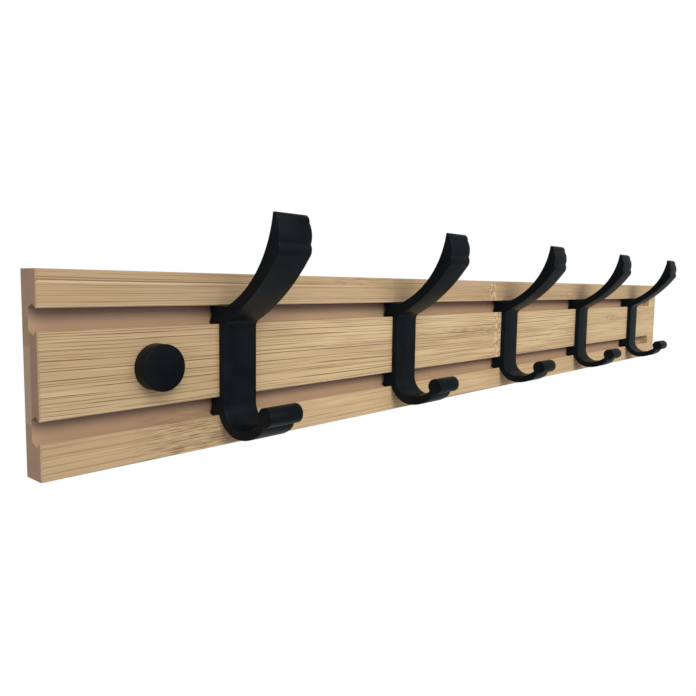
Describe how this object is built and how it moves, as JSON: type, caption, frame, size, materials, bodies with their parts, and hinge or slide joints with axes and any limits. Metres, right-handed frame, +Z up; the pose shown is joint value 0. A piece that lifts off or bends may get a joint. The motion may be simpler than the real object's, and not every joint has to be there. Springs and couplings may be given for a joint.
{
  "type": "wall hook rack",
  "caption": "Wall-mounted bamboo rail with two undercut grooves and five black double hooks that slide along it, fixed by two countersunk screws, one under a round cap.",
  "frame": {"origin": "centre of the board's back face, which lies on the wall", "axes": "+X along the board, +Z up, +Y into the wall, so the hooks stand out towards -Y"},
  "size_m": [0.53, 0.0711, 0.079],
  "materials": {
    "bamboo": "sanded laminated bamboo with a thin satin lacquer",
    "black_hook": "satin black powder coat on extruded aluminium",
    "black_cap": "satin black moulded plastic",
    "cap_base": "matte black moulded plastic",
    "zinc_screw": "bright zinc plate"
  },
  "bodies": {
    "board": {"backboard": "bamboo", "screw_left": "zinc_screw", "screw_right": "zinc_screw", "cap_base": "cap_base"},
    "hook_1": {"hook_1": "black_hook"},
    "hook_2": {"hook_2": "black_hook"},
    "hook_3": {"hook_3": "black_hook"},
    "hook_4": {"hook_4": "black_hook"},
    "hook_5": {"hook_5": "black_hook"},
    "cap": {"cap_cover": "black_cap"}
  },
  "joints": [
    {"name": "hook_1_slide", "type": "slide", "parent": "board", "child": "hook_1", "axis": [1, 0, 0], "range_m": [-0.0165, 0.0405]},
    {"name": "hook_2_slide", "type": "slide", "parent": "board", "child": "hook_2", "axis": [1, 0, 0], "range_m": [-0.0405, 0.042]},
    {"name": "hook_3_slide", "type": "slide", "parent": "board", "child": "hook_3", "axis": [1, 0, 0], "range_m": [-0.042, 0.0435]},
    {"name": "hook_4_slide", "type": "slide", "parent": "board", "child": "hook_4", "axis": [1, 0, 0], "range_m": [-0.0435, 0.0425]},
    {"name": "hook_5_slide", "type": "slide", "parent": "board", "child": "hook_5", "axis": [1, 0, 0], "range_m": [-0.0425, 0.038]},
    {"name": "cap_pull", "type": "slide", "parent": "board", "child": "cap", "axis": [0, -1, 0], "range_m": [0, 0.008]}
  ]
}
